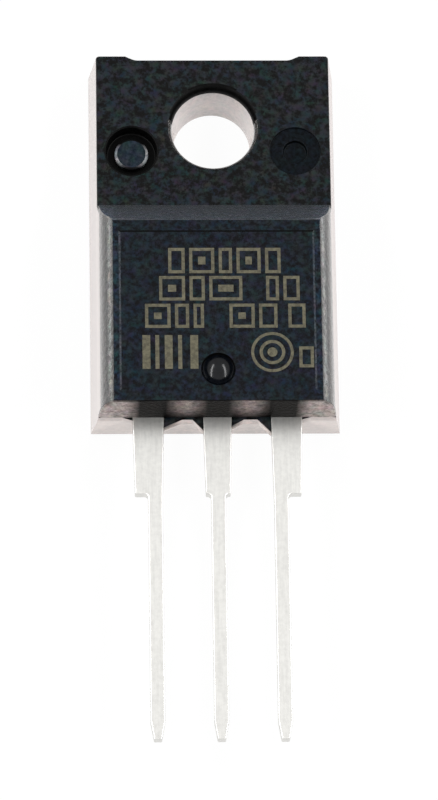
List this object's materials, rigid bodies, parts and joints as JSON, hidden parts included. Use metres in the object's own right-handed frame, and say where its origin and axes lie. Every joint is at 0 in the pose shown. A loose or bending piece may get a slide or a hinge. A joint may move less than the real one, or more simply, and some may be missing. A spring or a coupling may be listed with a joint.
{
  "type": "voltage regulator",
  "caption": "Linear voltage regulator in a fully moulded, insulated tab package with a screw hole, a stepped body and flat straight leads in a row.",
  "frame": {"origin": "axis of the screw hole, on the flat back face", "axes": "+Z out of the marked face, +Y towards the tab end, leads along -Y, +X to the right when the marked face is seen with the leads down"},
  "size_m": [0.0102, 0.0296, 0.0045],
  "materials": {
    "epoxy": "fine-grained moulded epoxy, near black, with pale laser marking",
    "tinned_copper": "matt tin plating on copper",
    "solder": "dull solder",
    "silicon": "polished silicon",
    "bond_wire": "drawn aluminium wire"
  },
  "bodies": {
    "root": {"moulded_body": "epoxy", "ground_lead": "tinned_copper", "input_lead": "tinned_copper", "output_lead": "tinned_copper", "die_solder": "solder", "silicon_die": "silicon", "input_wire": "bond_wire", "output_wire": "bond_wire", "ground_wire": "bond_wire"}
  },
  "joints": []
}
